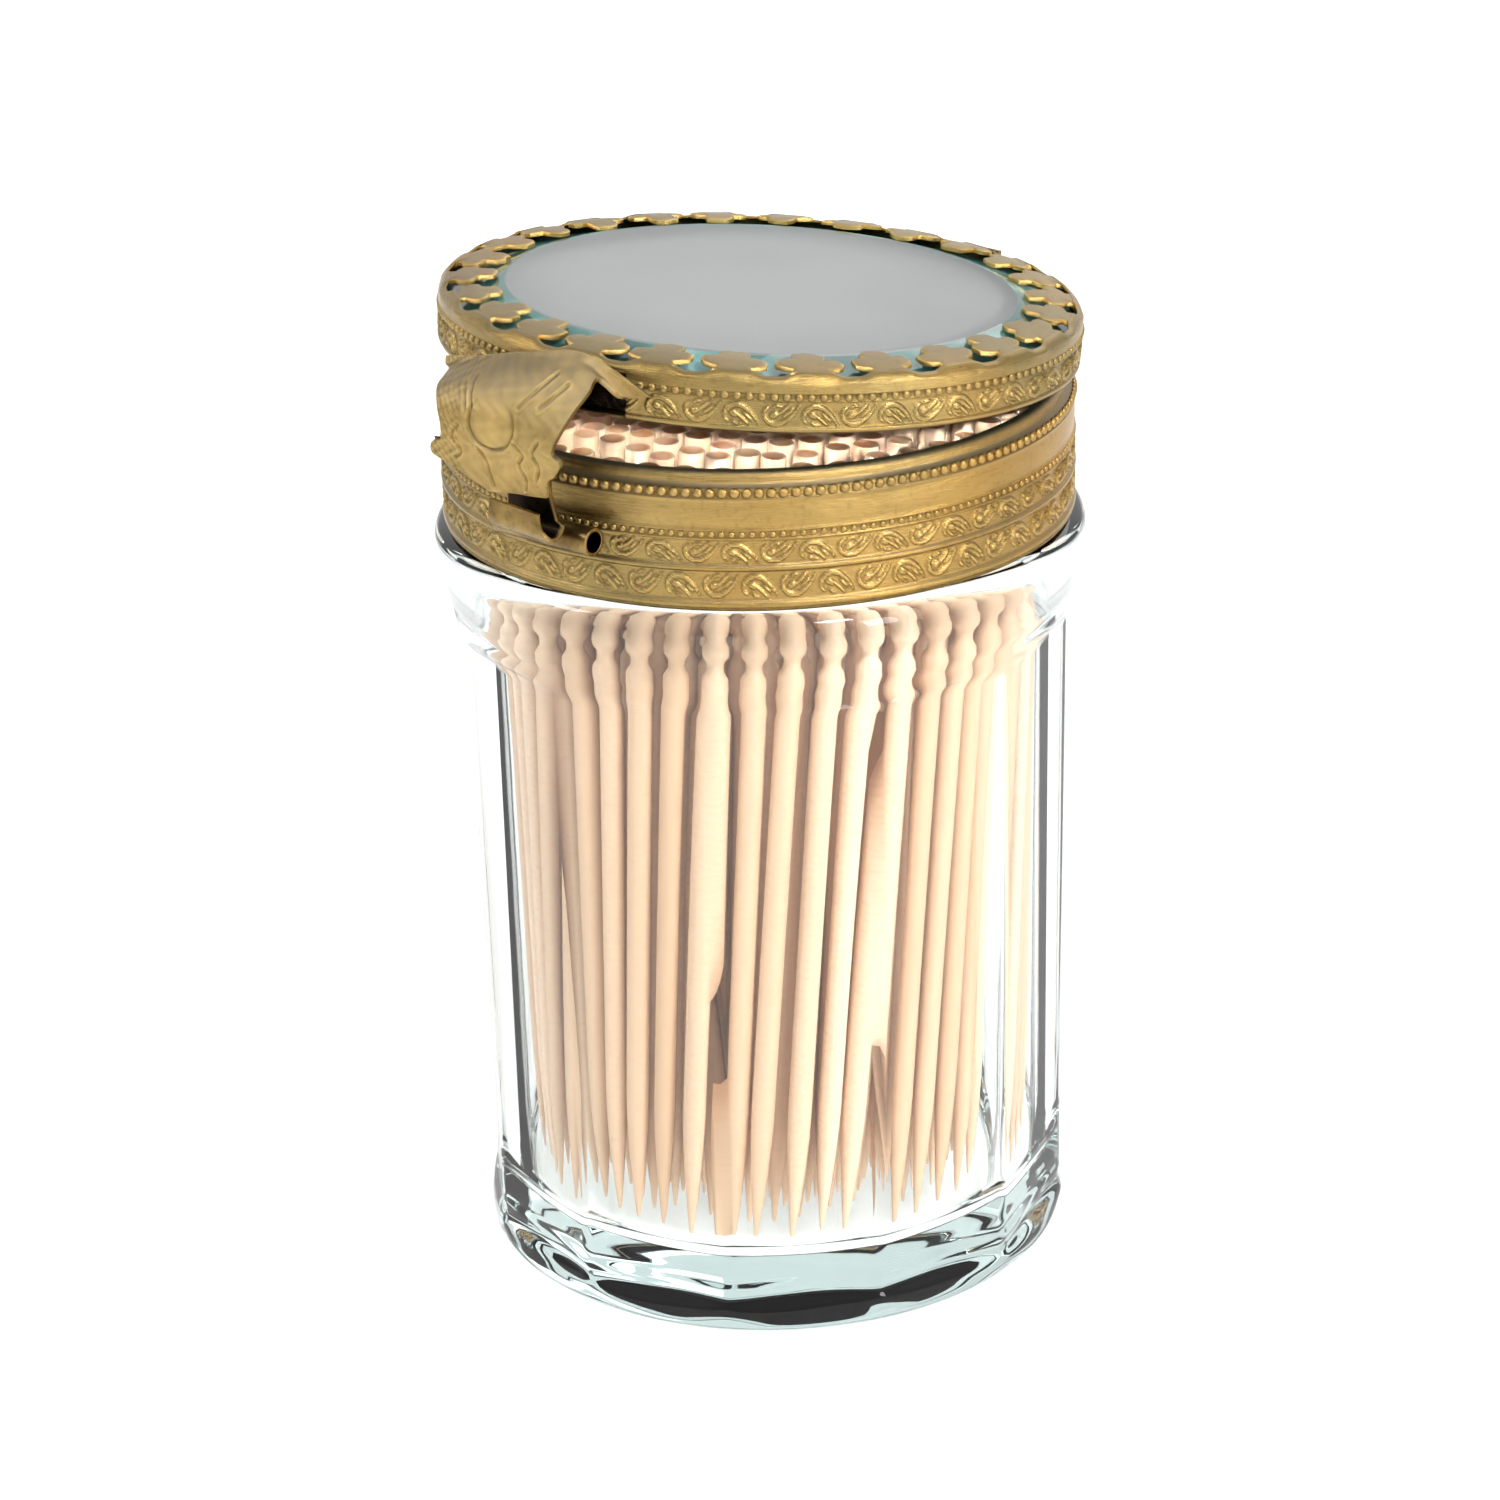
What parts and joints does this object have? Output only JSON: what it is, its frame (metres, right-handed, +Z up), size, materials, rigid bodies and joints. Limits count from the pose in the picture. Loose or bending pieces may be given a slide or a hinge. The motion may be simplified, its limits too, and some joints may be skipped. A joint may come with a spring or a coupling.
{
  "type": "toothpick dispenser",
  "caption": "Panelled glass jar of toothpicks with a stamped brass collar, a hinged lid of bevelled glass set in a crown of tabs, and a leaf-shaped snap clasp.",
  "frame": {"origin": "centre of the jar's flat underside", "axes": "+Z up along the jar, -Y towards the clasp, +Y towards the hinge, X parallel to the hinge pin"},
  "size_m": [0.051, 0.0578, 0.0812],
  "materials": {
    "jar_glass": "clear pressed glass",
    "bevelled_glass": "polished, bevelled edge",
    "silvered_plate": "silvered",
    "stamped_brass": "antiqued, stamped relief",
    "plain_brass": "drawn, heat-tinted",
    "fixing_cement": "matt plaster",
    "birch_wood": "raw turned birch"
  },
  "bodies": {
    "jar": {"glass_jar": "jar_glass", "collar_band": "stamped_brass", "collar_bedding": "fixing_cement", "catch_tube": "plain_brass", "collar_hinge_leaf": "plain_brass", "hinge_pin": "plain_brass", "toothpick_01": "birch_wood", "toothpick_02": "birch_wood", "toothpick_03": "birch_wood", "toothpick_04": "birch_wood", "toothpick_05": "birch_wood", "toothpick_06": "birch_wood", "toothpick_07": "birch_wood", "toothpick_08": "birch_wood", "toothpick_09": "birch_wood", "toothpick_10": "birch_wood", "toothpick_11": "birch_wood", "toothpick_12": "birch_wood", "toothpick_13": "birch_wood", "toothpick_14": "birch_wood", "toothpick_15": "birch_wood", "toothpick_16": "birch_wood", "toothpick_17": "birch_wood", "toothpick_18": "birch_wood", "toothpick_19": "birch_wood", "toothpick_20": "birch_wood", "toothpick_21": "birch_wood", "toothpick_22": "birch_wood", "toothpick_23": "birch_wood", "toothpick_24": "birch_wood", "toothpick_25": "birch_wood", "toothpick_26": "birch_wood", "toothpick_27": "birch_wood", "toothpick_28": "birch_wood", "toothpick_29": "birch_wood", "toothpick_30": "birch_wood", "toothpick_31": "birch_wood", "toothpick_32": "birch_wood", "toothpick_33": "birch_wood", "toothpick_34": "birch_wood", "toothpick_35": "birch_wood", "toothpick_36": "birch_wood", "toothpick_37": "birch_wood", "toothpick_38": "birch_wood", "toothpick_39": "birch_wood", "toothpick_40": "birch_wood", "toothpick_41": "birch_wood", "toothpick_42": "birch_wood", "toothpick_43": "birch_wood", "toothpick_44": "birch_wood", "toothpick_bundle": "birch_wood"},
    "lid": {"lid_bezel": "stamped_brass", "lid_glass": "bevelled_glass", "lid_backing_plate": "silvered_plate", "lid_hinge_leaf": "plain_brass", "clasp_leaf": "stamped_brass", "clasp_hook": "plain_brass"}
  },
  "joints": [
    {"name": "lid_hinge", "type": "hinge", "parent": "jar", "child": "lid", "pos_m": [0, 0.02625, 0.0724], "axis": [-1, 0, 0], "range_deg": [-4.5, 90]}
  ]
}
